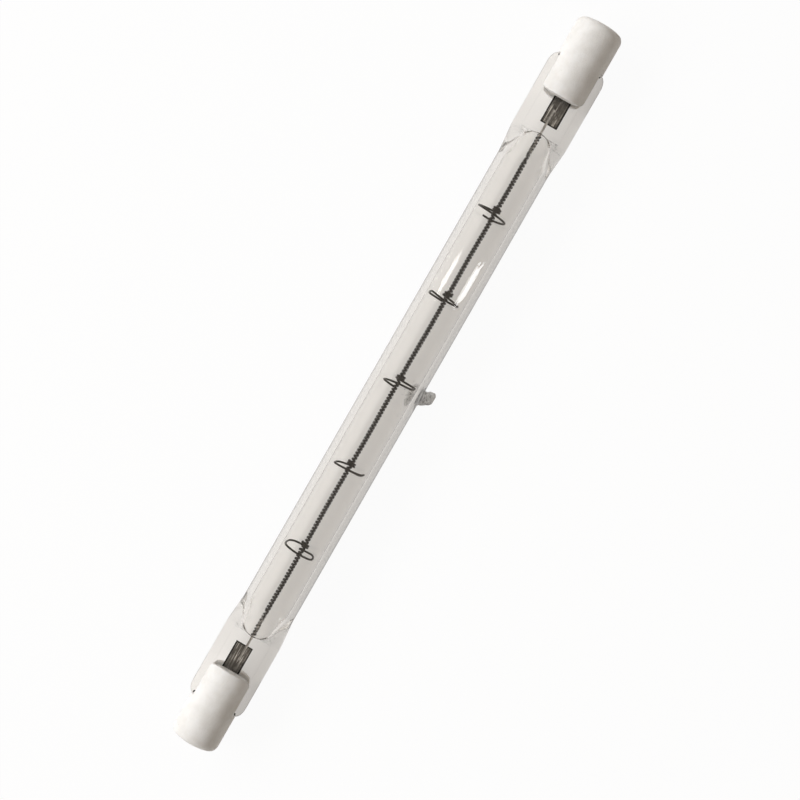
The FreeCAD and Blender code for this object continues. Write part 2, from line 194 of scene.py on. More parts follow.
# %% [markdown]
# ## Shader building blocks
#
# Fine grain, specks and drawn lines turn up in several finishes. Each is one node group
# with named inputs, built once and placed in each material with its own numbers, so a
# change to the grain reaches every finish. The groups work in the object's own
# coordinates, so the pattern stays put when the camera moves. They put out only masks and
# heights, and the shaders stay in the materials.


# %% Small helpers for node trees
def add_node(tree, kind, **settings):
    node = tree.nodes.new(kind)
    for name, setting in settings.items():
        setattr(node, name, setting)
    return node


def feed(target, source):
    """Link a socket, or set a plain number or colour."""
    if isinstance(source, bpy.types.NodeSocket):
        target.id_data.links.new(source, target)
    else:
        target.default_value = source


def fill(node, inputs):
    """Feed several inputs of a node by name."""
    for name, source in inputs.items():
        feed(node.inputs[name], source)


def math_node(operation, *values):
    """A sum in the tree that its sockets belong to."""
    tree = next(value.id_data for value in values if isinstance(value, bpy.types.NodeSocket))
    node = add_node(tree, "ShaderNodeMath", operation=operation)
    for socket, value in zip(node.inputs, values):
        feed(socket, value)
    return node.outputs[0]


def times(first, second):
    return math_node("MULTIPLY", first, second)


def plus(first, second):
    return math_node("ADD", first, second)


def spread(value, low, high, new_low=0.0, new_high=1.0):
    """Stretch part of a value's range, held at both ends."""
    node = add_node(value.id_data, "ShaderNodeMapRange", interpolation_type="SMOOTHSTEP")
    fill(node, {"Value": value, "From Min": low, "From Max": high})
    fill(node, {"To Min": new_low, "To Max": new_high})
    return node.outputs["Result"]


def mix_colour(share, first, second):
    node = add_node(share.id_data, "ShaderNodeMix", data_type="RGBA")
    fill(node, {"Factor": share, "A": first, "B": second})
    return node.outputs["Result"]


def shader_group(name, inputs, outputs):
    """An empty node group with named float inputs and outputs."""
    group = bpy.data.node_groups.new(name, "ShaderNodeTree")
    for label, default in inputs.items():
        socket = group.interface.new_socket(name=label, in_out="INPUT", socket_type="NodeSocketFloat")
        socket.default_value = default
    for label in outputs:
        group.interface.new_socket(name=label, in_out="OUTPUT", socket_type="NodeSocketFloat")
    return group, add_node(group, "NodeGroupInput"), add_node(group, "NodeGroupOutput")


def scaled_place(tree, size, stretch=(1, 1, 1)):
    """Object coordinates counted in features of the given size, in millimetres."""
    coordinates = add_node(tree, "ShaderNodeTexCoord")
    per_metre = math_node("DIVIDE", 1 / MM, size)
    scale = add_node(tree, "ShaderNodeVectorMath", operation="SCALE")
    feed(scale.inputs[0], coordinates.outputs["Object"])
    feed(scale.inputs["Scale"], per_metre)
    stretched = add_node(tree, "ShaderNodeVectorMath", operation="MULTIPLY")
    feed(stretched.inputs[0], scale.outputs[0])
    stretched.inputs[1].default_value = stretch
    return stretched.outputs[0]


# %% Group: fine grain
def make_fine_grain():
    defaults = {"Size": 0.3, "Depth": 1.0}
    group, given, out = shader_group("fine grain", defaults, ("Shade", "Height"))
    place = scaled_place(group, given.outputs["Size"])
    texture = add_node(group, "ShaderNodeTexNoise")
    fill(texture, {"Vector": place, "Scale": 1.0, "Detail": 5.0, "Roughness": 0.6})
    shade = spread(texture.outputs["Fac"], 0.35, 0.65)
    feed(out.inputs["Shade"], shade)
    feed(out.inputs["Height"], times(shade, given.outputs["Depth"]))
    return group


# %% Group: sparse specks
def make_specks():
    group, given, out = shader_group("specks", {"Size": 0.5, "Cover": 0.1}, ("Mask",))
    place = scaled_place(group, given.outputs["Size"])
    cells = add_node(group, "ShaderNodeTexVoronoi", feature="F1")
    fill(cells, {"Vector": place, "Scale": 1.0})
    reach = math_node("SUBTRACT", given.outputs["Cover"], cells.outputs["Distance"])
    feed(out.inputs["Mask"], spread(reach, 0.0, 0.06))
    return group


# %% Group: drawn lines along the lamp
def make_drawn_lines():
    group, given, out = shader_group("drawn lines", {"Size": 0.1}, ("Shade",))
    place = scaled_place(group, given.outputs["Size"], (0.03, 1, 1))
    texture = add_node(group, "ShaderNodeTexNoise")
    fill(texture, {"Vector": place, "Scale": 1.0, "Detail": 3.0})
    feed(out.inputs["Shade"], spread(texture.outputs["Fac"], 0.3, 0.7))
    return group


GRAIN = make_fine_grain()
SPECKS = make_specks()
DRAWN = make_drawn_lines()


def placed(tree, group, output, **numbers):
    """One output of a group that is placed in a tree with its own numbers."""
    node = add_node(tree, "ShaderNodeGroup", node_tree=group)
    fill(node, numbers)
    return node.outputs[output]


# %% A new material, and what every finish gets
def new_material(name):
    material = bpy.data.materials.new(name)
    material.use_nodes = True
    tree = material.node_tree
    return material, tree, tree.nodes["Principled BSDF"]


def dress(tree, shader, colour, roughness, height, depth):
    """Give a shader its colour, its roughness and a relief `depth` millimetres high at white."""
    bump = add_node(tree, "ShaderNodeBump")
    fill(bump, {"Strength": 1.0, "Distance": depth * MM, "Height": height})
    normal = bump.outputs["Normal"]
    fill(shader, {"Base Color": colour, "Roughness": roughness, "Normal": normal})


def show_either(tree, share, first, second):
    """Show the first shader, or the second where the share is white."""
    choice = add_node(tree, "ShaderNodeMixShader")
    feed(choice.inputs["Fac"], share)
    feed(choice.inputs[1], first)
    feed(choice.inputs[2], second)
    feed(tree.nodes["Material Output"].inputs["Surface"], choice.outputs["Shader"])


def lamp_axes(tree):
    """How far a point of the object is from the lamp's middle along x, y and z, in metres."""
    coordinates = add_node(tree, "ShaderNodeTexCoord")
    apart = add_node(tree, "ShaderNodeSeparateXYZ")
    feed(apart.inputs[0], coordinates.outputs["Object"])
    return [
        math_node("SUBTRACT", apart.outputs[axis], float(middle * MM))
        for axis, middle in zip("XYZ", LAMP_MIDDLE)
    ]


print("node groups", [group.name for group in (GRAIN, SPECKS, DRAWN)])

# %% [markdown]
# ## Clear fused quartz
#
# Fused quartz is clearer and bends light less than window glass, so its index is 1.458 and
# its colour almost white. Drawing the tube leaves faint lines along it, pinching the ends
# leaves slow ripples, and the melted-off tip is full of small bumps and bubbles. Masks in
# object coordinates keep each of these in its place. Where the glass is seen edge-on, Layer
# Weight darkens its colour: painted shade for the tube's dark edges, mostly left out in the
# neck and at the tip. Glass also blocks lamps in a path tracer unless caustics are traced,
# so rays on their way to a lamp pass through a Transparent shader instead, and what is
# inside stays lit.

# %% Where the quartz was worked
TIP_LEAN = 32
TIP_DIRECTION = math.radians(180 + TIP_LEAN)
TIP_MIDDLE = 5.0
TIP_CENTRE = (0, TIP_MIDDLE * math.cos(TIP_DIRECTION), TIP_MIDDLE * math.sin(TIP_DIRECTION))
# Each fade holds the distances in millimetres at which a mask starts and at which it is white.
TIP_FADE, DROPLET_FADE = (2.4, 1.5), (5.2, 4.2)
NECK_FADE_IN, NECK_FADE_OUT = (35.5, 38.5), (43.0, 41.0)


def faded(distance, fade, origin=0.0):
    """A mask that follows a distance, with its fade counted from an origin."""
    return spread(distance, *((origin + edge) * MM for edge in fade))


def near_tip(tree):
    """White at the melted-off tip, and white on the glass around it too."""
    coordinates = add_node(tree, "ShaderNodeTexCoord")
    away = add_node(tree, "ShaderNodeVectorMath", operation="DISTANCE")
    feed(away.inputs[0], coordinates.outputs["Object"])
    away.inputs[1].default_value = in_frame(TIP_CENTRE).tolist()
    return [faded(away.outputs["Value"], fade) for fade in (TIP_FADE, DROPLET_FADE)]


def in_neck(tree):
    """White where the tube is pinched, black elsewhere."""
    along = math_node("ABSOLUTE", lamp_axes(tree)[0])
    enter, leave = faded(along, NECK_FADE_IN), faded(along, NECK_FADE_OUT)
    return times(enter, leave)


print("tip's middle", [round(float(v), 2) for v in TIP_CENTRE])

# %% Relief of the glass
LINE_HEIGHT, DROPLET_HEIGHT = 0.03, 4.0


def quartz_height(tree, lines, close, around, neck):
    """Faint ripples and lines all over, and stronger relief where the glass was worked."""
    ripple = placed(tree, GRAIN, "Height", Size=6.0, Depth=0.15)
    height = plus(ripple, times(lines, LINE_HEIGHT))
    melted = placed(tree, GRAIN, "Height", Size=0.6, Depth=20.0)
    pinched = placed(tree, GRAIN, "Height", Size=2.6, Depth=3.5)
    droplets = times(placed(tree, SPECKS, "Mask", Size=1.0, Cover=0.14), DROPLET_HEIGHT)
    for texture, mask in ((melted, close), (pinched, neck), (droplets, around)):
        height = plus(height, times(texture, mask))
    return height


# %% Colour of the glass, with painted shade at its rims
# The rim colour is painted shade. It darkens the glass where the glass is seen edge-on.
CLEAR, RIM_PAINTED_SHADE = (0.985, 0.98, 0.97, 1), (0.1, 0.095, 0.085, 1)
BUBBLE_GREY, BUBBLE_SHARE = (0.03, 0.03, 0.03, 1), 0.85
# Shares of the painted rim shade that are left out in the neck and at the tip.
NECK_LEFT_OUT, TIP_LEFT_OUT = 0.85, 0.9


def without(mask, share):
    """One, less a share of the mask."""
    return math_node("SUBTRACT", 1.0, times(mask, share))


def quartz_colour(tree, lines, close, neck):
    """Clear, with painted shade along rims seen edge-on (less in the neck and tip), and dark bubbles in
    the tip.
    """
    facing = add_node(tree, "ShaderNodeLayerWeight")
    # Painted shade, growing as the surface turns edge-on to the view.
    rim = spread(facing.outputs["Facing"], 0.62, 0.88)
    painted_rim_shade = times(rim, spread(lines, 0.0, 1.0, 0.6, 1.0))
    for mask, share in ((neck, NECK_LEFT_OUT), (close, TIP_LEFT_OUT)):
        painted_rim_shade = times(painted_rim_shade, without(mask, share))
    colour = mix_colour(painted_rim_shade, CLEAR, RIM_PAINTED_SHADE)
    bubbles = placed(tree, SPECKS, "Mask", Size=0.42, Cover=0.38)
    dots = times(bubbles, times(close, BUBBLE_SHARE))
    return mix_colour(dots, colour, BUBBLE_GREY)


# %% Quartz
QUARTZ_INDEX = 1.458
RELIEF_DEPTH = 0.012
FILM_ROUGHNESS = 0.12
SHADOW_LIGHT = (0.62, 0.62, 0.62, 1)


def make_quartz():
    material, tree, shader = new_material("fused_quartz")
    shader.inputs["IOR"].default_value = QUARTZ_INDEX
    shader.inputs["Transmission Weight"].default_value = 1.0
    lines = placed(tree, DRAWN, "Shade", Size=0.9)
    close, around = near_tip(tree)
    neck = in_neck(tree)
    film = placed(tree, SPECKS, "Mask", Size=1.7, Cover=0.05)
    colour = quartz_colour(tree, lines, close, neck)
    height = quartz_height(tree, lines, close, around, neck)
    dress(tree, shader, colour, times(film, FILM_ROUGHNESS), height, RELIEF_DEPTH)
    clear = add_node(tree, "ShaderNodeBsdfTransparent")
    clear.inputs["Color"].default_value = SHADOW_LIGHT
    rays = add_node(tree, "ShaderNodeLightPath")
    show_either(tree, rays.outputs["Is Shadow Ray"], shader.outputs["BSDF"], clear.outputs["BSDF"])
    return material


QUARTZ = make_quartz()
print("quartz", len(QUARTZ.node_tree.nodes), "nodes")

# %% [markdown]
# ## The quartz envelope
#
# The real one starts as a round tube. Its ends are heated and pressed between jaws, which
# flatten them to an H: two edge ribs with a thinner web between them. The exhaust tube is
# melted off and leaves a rounded tip. Booleans of cylinders would leave hard seams where
# melted quartz has none, so the skin is lofted through sections that change smoothly from
# round to flat.

# %% Sizes of the envelope
TUBE_RADIUS = 4.0
BORE_RADIUS = 3.0
NECK_START, FLAT_START = 36.25, 41.25
SEAL_END = 52.6
SEAL_HALF_WIDTH = 4.35
RIB_HALF_HEIGHT, WEB_HALF_HEIGHT = 1.4, 1.05
WEB_HALF_WIDTH, RIB_SLOPE = 3.0, 0.42
CORNER_REACH, CORNER_DEPTH = 1.7, 0.95
END_ROUNDING = 0.14
BORE_END, BORE_END_HALF_WIDTH, BORE_END_HALF_HEIGHT = 41.4, 1.9, 0.52
BORE_CLOSING = 1.6
NECK_EASE = 0.15
print("seal", round(SEAL_END - FLAT_START, 2), "mm long and", 2 * SEAL_HALF_WIDTH, "mm wide")


# %% Curves that the sections follow
def held(share):
    return min(1.0, max(0.0, share))


def pinch(share):
    """A straight ramp with eased ends: steeper glass would turn dark by total reflection."""
    share = held(share)
    if share > 0.5:
        return 1 - pinch(1 - share)
    if share < NECK_EASE:
        return share**2 / (2 * NECK_EASE * (1 - NECK_EASE))
    return (share - NECK_EASE / 2) / (1 - NECK_EASE)


def smooth_step(share):
    share = np.clip(share, 0, 1)
    return share**2 * (3 - 2 * share)


def smoother(share):
    """A step whose curvature is even too, for flares that must show no seam."""
    share = held(share)
    return share**3 * (10 - 15 * share + 6 * share**2)


def quarter_arc(share, kept=0.0):
    """From 1 down a quarter circle to 0, or to a little more, so that no ring is a point."""
    return math.sqrt(1 - share**2 * (1 - kept))


def circle(count):
    """Cosines and sines of even steps round a circle."""
    angle = 2 * np.pi * np.arange(count) / count
    return np.cos(angle), np.sin(angle)


def oval(half_width, half_height, squareness, count):
    """Across and up of an ellipse at squareness 2, a rounder box above that."""
    across, up = circle(count)
    reach = (abs(across) ** squareness + abs(up) ** squareness) ** (1 / squareness)
    return half_width * across / reach, half_height * up / reach


def ring_at(x, y, z):
    """Points across the lamp at one place along it."""
    return np.column_stack([np.full(len(y), float(x)), y, z])


# %% Cross-section of the outer skin
ROUND, PRESSED_SQUARENESS = 2, 8
WEB_RUN_OUT, WEB_RUN_OUT_SLOPE = 4, 0.7
WEB_EDGE_SOFTNESS = 0.002


def outer_section(x, count):
    """Round in the tube, and a flattened box with a thinner web in the seal."""
    along = abs(x)
    pressed = pinch((along - NECK_START) / (FLAT_START - NECK_START))
    half_width = TUBE_RADIUS + pressed * (SEAL_HALF_WIDTH - TUBE_RADIUS)
    half_height = TUBE_RADIUS + pressed * (RIB_HALF_HEIGHT - TUBE_RADIUS)
    into_corner = held((along - SEAL_END + CORNER_REACH) / CORNER_REACH)
    half_width -= CORNER_DEPTH * (1 - quarter_arc(into_corner, 0.001))
    into_end = held((along - SEAL_END + END_ROUNDING) / END_ROUNDING)
    pulled_in = END_ROUNDING * (1 - quarter_arc(into_end))
    squareness = ROUND + pressed * (PRESSED_SQUARENESS - ROUND)
    y, z = oval(half_width - pulled_in, half_height - pulled_in, squareness, count)
    if along > FLAT_START - WEB_RUN_OUT:
        rise_across = smooth_step((abs(y) - WEB_HALF_WIDTH) / RIB_SLOPE)
        limit = WEB_HALF_HEIGHT - pulled_in + (RIB_HALF_HEIGHT - WEB_HALF_HEIGHT) * rise_across
        limit = limit + WEB_RUN_OUT_SLOPE * max(0.0, FLAT_START - along)
        over = abs(z) - limit
        softened = limit + 0.5 * (over - np.sqrt(over**2 + WEB_EDGE_SOFTNESS))
        z = np.sign(z) * np.where(rise_across < 1, np.minimum(abs(z), softened), abs(z))
    return ring_at(x, y, z)


# %% Cross-section of the bore
def bore_section(x, count):
    """Round in the tube, flattened in the neck and closed by a curve."""
    along = abs(x)
    pressed = pinch((along - NECK_START) / (BORE_END - NECK_START))
    half_width = BORE_RADIUS + pressed**2 * (BORE_END_HALF_WIDTH - BORE_RADIUS)
    half_height = BORE_RADIUS + pressed * (BORE_END_HALF_HEIGHT - BORE_RADIUS)
    shut = quarter_arc(held((along - BORE_END + BORE_CLOSING) / BORE_CLOSING), 0.002)
    y, z = oval(half_width * shut, half_height * shut**0.5, ROUND + pressed, count)
    return ring_at(x, y, z)


for section in (outer_section, bore_section):
    for x in (0, FLAT_START):
        print(section.__name__, x, "half sizes", abs(section(x, 96)[:, 1:]).max(0).round(2))

# %% [markdown]
# ## The melted-off tip
#
# The tip grows out of the tube's side with a soft flare, like a drop pulled from honey.
# A square hole is left in the tube's grid, and rings lead from its edge to the tip's
# round profile, so the flow of faces stays clean and no boolean is needed. The same
# function makes the small funnel that the tip leaves inside the bore.


# %% A tube's grid with a square hole
def grid_with_hole(rows, count, rows_open, columns_open):
    """Quads between the rings, apart from those in the hole, and the hole's edge in order."""
    (i0, i1), (k0, k1) = rows_open, columns_open
    hole = {i * count + k for i in range(i0, i1) for k in range(k0, k1)}
    faces = [face for face in ring_faces(rows, count) if face[0] not in hole]
    edge = [i0 * count + k for k in range(k0, k1)]
    edge += [i * count + k1 for i in range(i0, i1)]
    edge += [i1 * count + k for k in range(k1, k0, -1)]
    edge += [i * count + k0 for i in range(i1, i0, -1)]
    return faces, edge


# %% Rings from the hole's edge to the end of the tip
ALONG = np.array([1, 0, 0])
OUTWARD = np.array([0, math.cos(TIP_DIRECTION), math.sin(TIP_DIRECTION)])
ASIDE = np.array([0, -math.sin(TIP_DIRECTION), math.cos(TIP_DIRECTION)])
SETTLING_RINGS = 5


def tip_rings(rim, radius, profile, wobble):
    """A ring for each profile point, lumpy and leaning where it has left the tube."""
    along, across = rim[:, 0], rim @ ASIDE
    angle, reach = np.arctan2(across, along), np.hypot(along, across)
    for step, (wanted, height, rounded) in enumerate(profile, start=1):
        ring_reach = reach + (wanted - reach) * min(1.0, step / SETTLING_RINGS)
        lumps = np.sin(3 * angle + 5 * height) + np.sin(5 * angle - 7 * height)
        ring_reach = ring_reach * (1 - wobble * rounded * (0.5 + 0.25 * lumps))
        lean = 3 * wobble * rounded * (height - radius)
        u, v = ring_reach * np.cos(angle) + lean, ring_reach * np.sin(angle)
        on_tube = np.sqrt(np.maximum(radius**2 - v**2, 0))
        up = on_tube + rounded * (height - on_tube)
        yield np.outer(u, ALONG) + np.outer(v, ASIDE) + np.outer(up, OUTWARD)


# %% A skin with a tip in its side
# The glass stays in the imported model's box, sideways and down from the axis.
SIDE_LIMIT, FLOOR_LIMIT = -5.79, -3.99
TIP_FOOT = 3


def used_only(points, faces):
    """Drop the points that no face uses, such as those inside the hole."""
    used = sorted({i for face in faces for i in face})
    renumber = {old: new for new, old in enumerate(used)}
    return np.array(points)[used], [tuple(renumber[i] for i in face) for face in faces]


def skin_with_tip(section, stations, count, half_hole, profile, wobble=0.0):
    """Points and faces of a closed tube whose side runs out into a tip."""
    stations = np.array(stations)
    rings = np.array([section(x, count) for x in stations])
    rows = len(rings)
    radius = np.hypot(*rings[rows // 2][0, 1:])
    cell = 2 * np.pi / count
    columns = round(2 * half_hole / (radius * cell))
    first = round(TIP_DIRECTION / cell - columns / 2)
    rows_open = [int(np.argmin(abs(stations - end))) for end in (-half_hole, half_hole)]
    faces, last = grid_with_hole(rows, count, rows_open, (first, first + columns))
    points = list(rings.reshape(-1, 3))
    rim = np.array([points[i] for i in last])
    for ring_points in tip_rings(rim, radius, profile, wobble):
        ring = range(len(points), len(points) + len(last))
        points.extend(ring_points)
        for (a, b), (c, d) in zip(neighbours(last), neighbours(ring)):
            faces.append((a, b, d, c))
        last = ring
    for ring, centre, turned in (
        (last, OUTWARD * profile[-1][1], False),
        (range(count), rings[0].mean(0), True),
        (range((rows - 1) * count, rows * count), rings[-1].mean(0), False),
    ):
        points.append(centre)
        for here, after in neighbours(ring):
            pair = (after, here) if turned else (here, after)
            faces.append((*pair, len(points) - 1))
    points, faces = used_only(points, faces)
    points[:, 1] = np.maximum(points[:, 1], SIDE_LIMIT)
    by_tip = np.abs(points[:, 0]) < TIP_FOOT
    points[by_tip, 2] = np.maximum(points[by_tip, 2], FLOOR_LIMIT)
    return points, faces


# %% Steps from one value to another
def shares(count):
    return [step / count for step in range(1, count + 1)]


def even(start, end, count):
    return [start + (end - start) * share for share in shares(count)]


def closing_up(start, end, count):
    return [start + (end - start) * math.sin(math.pi / 2 * share) for share in shares(count)]


def opening_out(start, end, count):
    return [start + (end - start) * (1 - math.cos(math.pi / 2 * share)) for share in shares(count)]


def line(start, end, count):
    """Even steps from one profile point to another."""
    return [*zip(even(start[0], end[0], count), even(start[1], end[1], count))]


def arc(start, end, bulge_first, count=8):
    """A quarter ellipse, leaving `start` along its first coordinate if bulge_first."""
    ways = (closing_up, opening_out) if bulge_first else (opening_out, closing_up)
    return [*zip(*(way(a, b, count) for way, a, b in zip(ways, start, end)))]


# %% Profiles of the tip and of its funnel, as radius and distance from the axis
FLARE_FOOT, FLARE_TOP, DOME_FOOT, DOME_TOP = (2.1, 3.95), (1.2, 4.9), (1.1, 6.0), (0.35, 6.62)
TIP_END = [(0.2, 6.64), (0.02, 6.64)]
FUNNEL_MOUTH, FUNNEL_WAIST, FUNNEL_NARROW = (0.75, 3.0), (0.42, 3.4), (0.12, 5.2)
FUNNEL_END = [(0.07, 5.24), (0.01, 5.26)]


def with_roundness(flare, rest, haste=1.0):
    """Add how round each ring is: more and more in the flare, and wholly after it."""
    flared = [(*point, smoother(haste * share)) for point, share in zip(flare, shares(len(flare)))]
    return flared + [(*point, 1.0) for point in rest]


dome = arc(DOME_FOOT, DOME_TOP, False, 11)[:-1]
tip_profile = with_roundness(
    arc(FLARE_FOOT, FLARE_TOP, True, 14), line(FLARE_TOP, DOME_FOOT, 8) + dome + TIP_END, haste=1.05
)
funnel_profile = with_roundness(
    arc(FUNNEL_MOUTH, FUNNEL_WAIST, True, 7), line(FUNNEL_WAIST, FUNNEL_NARROW, 7) + FUNNEL_END
)
print("tip", len(tip_profile), "rings, funnel", len(funnel_profile), "rings")

# %% Stations along each skin
TIP_HOLE, FUNNEL_HOLE = 2.2, 0.75


def mirrored(positive):
    return [-x for x in reversed(positive)] + [0.0] + positive


flat_end, corner_end = SEAL_END - CORNER_REACH, SEAL_END - END_ROUNDING
outer_stations = mirrored(
    even(0, TIP_HOLE, 14)
    + even(TIP_HOLE, NECK_START, 18)
    + even(NECK_START, FLAT_START, 30)
    + even(FLAT_START, flat_end, 8)
    + closing_up(flat_end, corner_end, 12)
    + closing_up(corner_end, SEAL_END, 4)
)
closing_start = BORE_END - BORE_CLOSING
bore_stations = mirrored(
    even(0, FUNNEL_HOLE, 4)
    + even(FUNNEL_HOLE, NECK_START, 18)
    + even(NECK_START, closing_start, 22)
    + closing_up(closing_start, BORE_END, 14)
)
print("stations", len(outer_stations), "outside and", len(bore_stations), "inside")

# %% Join both skins into one glass body
TIP_WOBBLE = 0.13
outer_skin = skin_with_tip(outer_section, outer_stations, 160, TIP_HOLE, tip_profile, TIP_WOBBLE)
bore_skin = skin_with_tip(bore_section, bore_stations, 96, FUNNEL_HOLE, funnel_profile)
skins = bmesh.new()
skins.from_mesh(outward_mesh("outer_skin", *outer_skin))
skins.from_mesh(outward_mesh("bore_skin", *bore_skin, inward=True))
glass_mesh = bpy.data.meshes.new("quartz_bulb_glass")
skins.to_mesh(glass_mesh)
skins.free()
place_piece("quartz_bulb_glass", glass_mesh, QUARTZ, "quartz", "quartz_envelope", crease=50)

# %% [markdown]
# ## Tungsten wire
#
# The filament and its supports are tungsten: dark grey, a little glossy, with fine die
# lines from drawing. A new filament is darker than bare metal because its surface is
# slightly oxidised. Metal in a path tracer takes all its colour from reflections, so the
# base colour stays dark and the roughness middling.


# %% Dark drawn wire
OXIDE_DARK = (0.008, 0.0075, 0.007, 1)
COIL_LIGHT, SUPPORT_LIGHT = (0.05, 0.047, 0.044, 1), (0.035, 0.033, 0.03, 1)


def make_wire(name, light, roughness):
    material, tree, shader = new_material(name)
    shader.inputs["Metallic"].default_value = 1.0
    lines = placed(tree, DRAWN, "Shade", Size=0.05)
    grain = placed(tree, GRAIN, "Shade", Size=0.12)
    rough = spread(lines, 0.0, 1.0, roughness - 0.08, roughness + 0.1)
    dress(tree, shader, mix_colour(grain, OXIDE_DARK, light), rough, lines, 0.004)
    return material


TUNGSTEN = make_wire("tungsten_coil", COIL_LIGHT, 0.45)
SUPPORT_WIRE = make_wire("support_wire", SUPPORT_LIGHT, 0.4)

# %% [markdown]
# ## The coiled coil
#
# The filament is wound twice: a fine wire into a thin coil, and that coil into a wider
# one. A texture could fake it from afar, but not from the side, so the wire itself is
# swept along the double helix. Between its supports the coil sags by less than a tenth of
# a millimetre, as a heavy spring does.

# %% The double helix as a swept wire
WIRE_END = 41.0
COIL_RADIUS = 0.4
COIL_PITCH = 0.5
THIN_COIL_RADIUS = 0.175
FINE_WIRE_RADIUS = 0.045
THIN_TURNS = 1900
POINTS_PER_THIN_TURN = 8
FINE_WIRE_SIDES = 5
SUPPORT_SPACING = 13.65
HANG, STRAY, STRAY_RATE, STRAY_START = 0.07, 0.045, 0.31, 1.2


def stray_and_hang(x):
    """How far the coil strays to its side and hangs down between two supports."""
    share = np.abs(np.sin(np.pi * x / SUPPORT_SPACING))
    return STRAY * share * np.sin(STRAY_RATE * x + STRAY_START), -HANG * share


def unit(vectors):
    return vectors / np.linalg.norm(vectors, axis=1, keepdims=True)


def swept(path, outward, radius, sides):
    """Rings of a round wire along a path, with a steady outward direction at each point."""
    along = unit(np.gradient(path, axis=0))
    aside = unit(np.cross(along, outward))
    outward = np.cross(aside, along)
    across, up = (radius * part[None, :, None] for part in circle(sides))
    return path[:, None] + across * outward[:, None] + up * aside[:, None]


def coiled_coil():
    share = np.linspace(0, 1, THIN_TURNS * POINTS_PER_THIN_TURN + 1)
    x = -WIRE_END + share * 2 * WIRE_END
    wide = 2 * np.pi * x / COIL_PITCH
    outward = ring_at(0, np.cos(wide), np.sin(wide))
    centre = np.column_stack([x, *stray_and_hang(x)]) + outward * (COIL_RADIUS - THIN_COIL_RADIUS)
    aside = np.cross(unit(np.gradient(centre, axis=0)), outward)
    thin = 2 * np.pi * THIN_TURNS * share
    spoke = np.cos(thin)[:, None] * outward + np.sin(thin)[:, None] * aside
    path = centre + (THIN_COIL_RADIUS - FINE_WIRE_RADIUS) * spoke
    return swept(path, spoke, FINE_WIRE_RADIUS, FINE_WIRE_SIDES)


place_rings("coiled_filament", coiled_coil(), TUNGSTEN, "tungsten", "filament", crease=80)

# %% [markdown]
# ## Five filament supports
#
# Each support is one wire: about a turn and a half gripping the coil, and then a turn and
# a quarter that spirals out and almost touches the bore. They are wound by hand-fed
# machines, so no two sit alike. Each has its own place, offset and run of turns, read from
# the strokes in the photo.

# %% How each support is wound
SUPPORT_WIRE_RADIUS = 0.15
GRIP_RADIUS = COIL_RADIUS + 0.14
OUTER_RADIUS = 2.26
GRIP_TURNS, GRIP_LENGTH = 1.6, 0.5
STEP_DEGREES, ARM_DEGREES = 6.0, 170
SMOOTHING_PASSES = 12
# Each support's shift along the lamp, its offset to the side, and its turns as angles in
# degrees with places along the lamp. The photo shows 0 degrees on the left, 180 on the right.
SUPPORTS = {
    5: (0.95, 0.34, (
        (-180, 0.5), (-60, 0.5), (0, 0.14), (90, -0.18), (180, -0.48), (270, -0.78), (300, -0.71),
    )),
    4: (0.88, 0.27, (
        (0, 0.41), (90, 0.14), (180, -0.32), (270, -0.34), (345, 0.02), (375, -0.53), (455, -0.71),
    )),
    3: (0.62, -0.27, (
        (0, 0.62), (90, 0.58), (165, 0.53), (200, 0.07), (270, -0.09), (345, -0.41), (440, -0.67),
    )),
    2: (0.2, -0.08, (
        (180, 0.5), (270, 0.37), (335, -0.02), (365, -0.3), (450, -0.12), (510, 0.04),
        (535, 0.42), (565, -0.33), (640, -0.55),
    )),
    1: (0.35, 0.3, (
        (180, 0.53), (270, 0.46), (325, 0.34), (360, -0.1), (385, -0.38), (450, -0.57),
        (520, -0.57), (560, -0.08), (640, -0.44),
    )),
}


def support_coil(knots, aside):
    """The wire's middle line: a grip on the coil, an arm and the loose turns."""
    first, last = knots[0][0], knots[-1][0]
    start = first - 360 * GRIP_TURNS
    degrees = np.arange(start, last + 1, STEP_DEGREES)
    along = np.interp(degrees, *zip((start, knots[0][1] + GRIP_LENGTH), *knots))
    for _ in range(SMOOTHING_PASSES):
        along[1:-1] = (along[:-2] + 2 * along[1:-1] + along[2:]) / 4
    leaving = smooth_step((degrees - first) / ARM_DEGREES)
    angle = np.radians(degrees)
    outward = ring_at(0, np.cos(angle), np.sin(angle))
    path = outward * (GRIP_RADIUS + leaving * (OUTER_RADIUS - GRIP_RADIUS))[:, None]
    path[:, 0] = along
    path[:, 1] += leaving * aside
    return path, outward


# %% Five supports
MIDDLE_SUPPORT = 3
for number, (shift, aside, knots) in SUPPORTS.items():
    path, outward = support_coil(knots, aside)
    path = path + (SUPPORT_SPACING * (number - MIDDLE_SUPPORT) + shift, 0, 0)
    rings = swept(path, outward, SUPPORT_WIRE_RADIUS, 12)
    node = f"filament_support_{number}"
    place_rings(f"support_coil_{number}", rings, SUPPORT_WIRE, "support_wire", node)

# %% [markdown]
# ## Molybdenum leads and foils
#
# No wire can pass through quartz without cracking it as it cools, so the current crosses
# the seal on a foil thinner than paper. The inner lead from the coil and the outer lead to
# the contact are welded on it, and both are pressed a little flat there. The foil's edges
# are etched to a feather edge. It is grey, with rolling lines and darker edges.


# %% Molybdenum
FOIL_START, FOIL_END = 43.0, 51.0
FOIL_HALF_WIDTH, FOIL_THICKNESS, FOIL_TOP, FOIL_OFFSET = 1.35, 0.03, -0.14, -0.35
SIDE_RIM, START_RIM, WELD_FADE = (-0.3, -0.16), (0.26, 0.14), (3.2, 2.2)
ETCHED, WELD_BRIGHT = (0.004, 0.004, 0.004, 1), (0.95, 0.94, 0.92, 1)


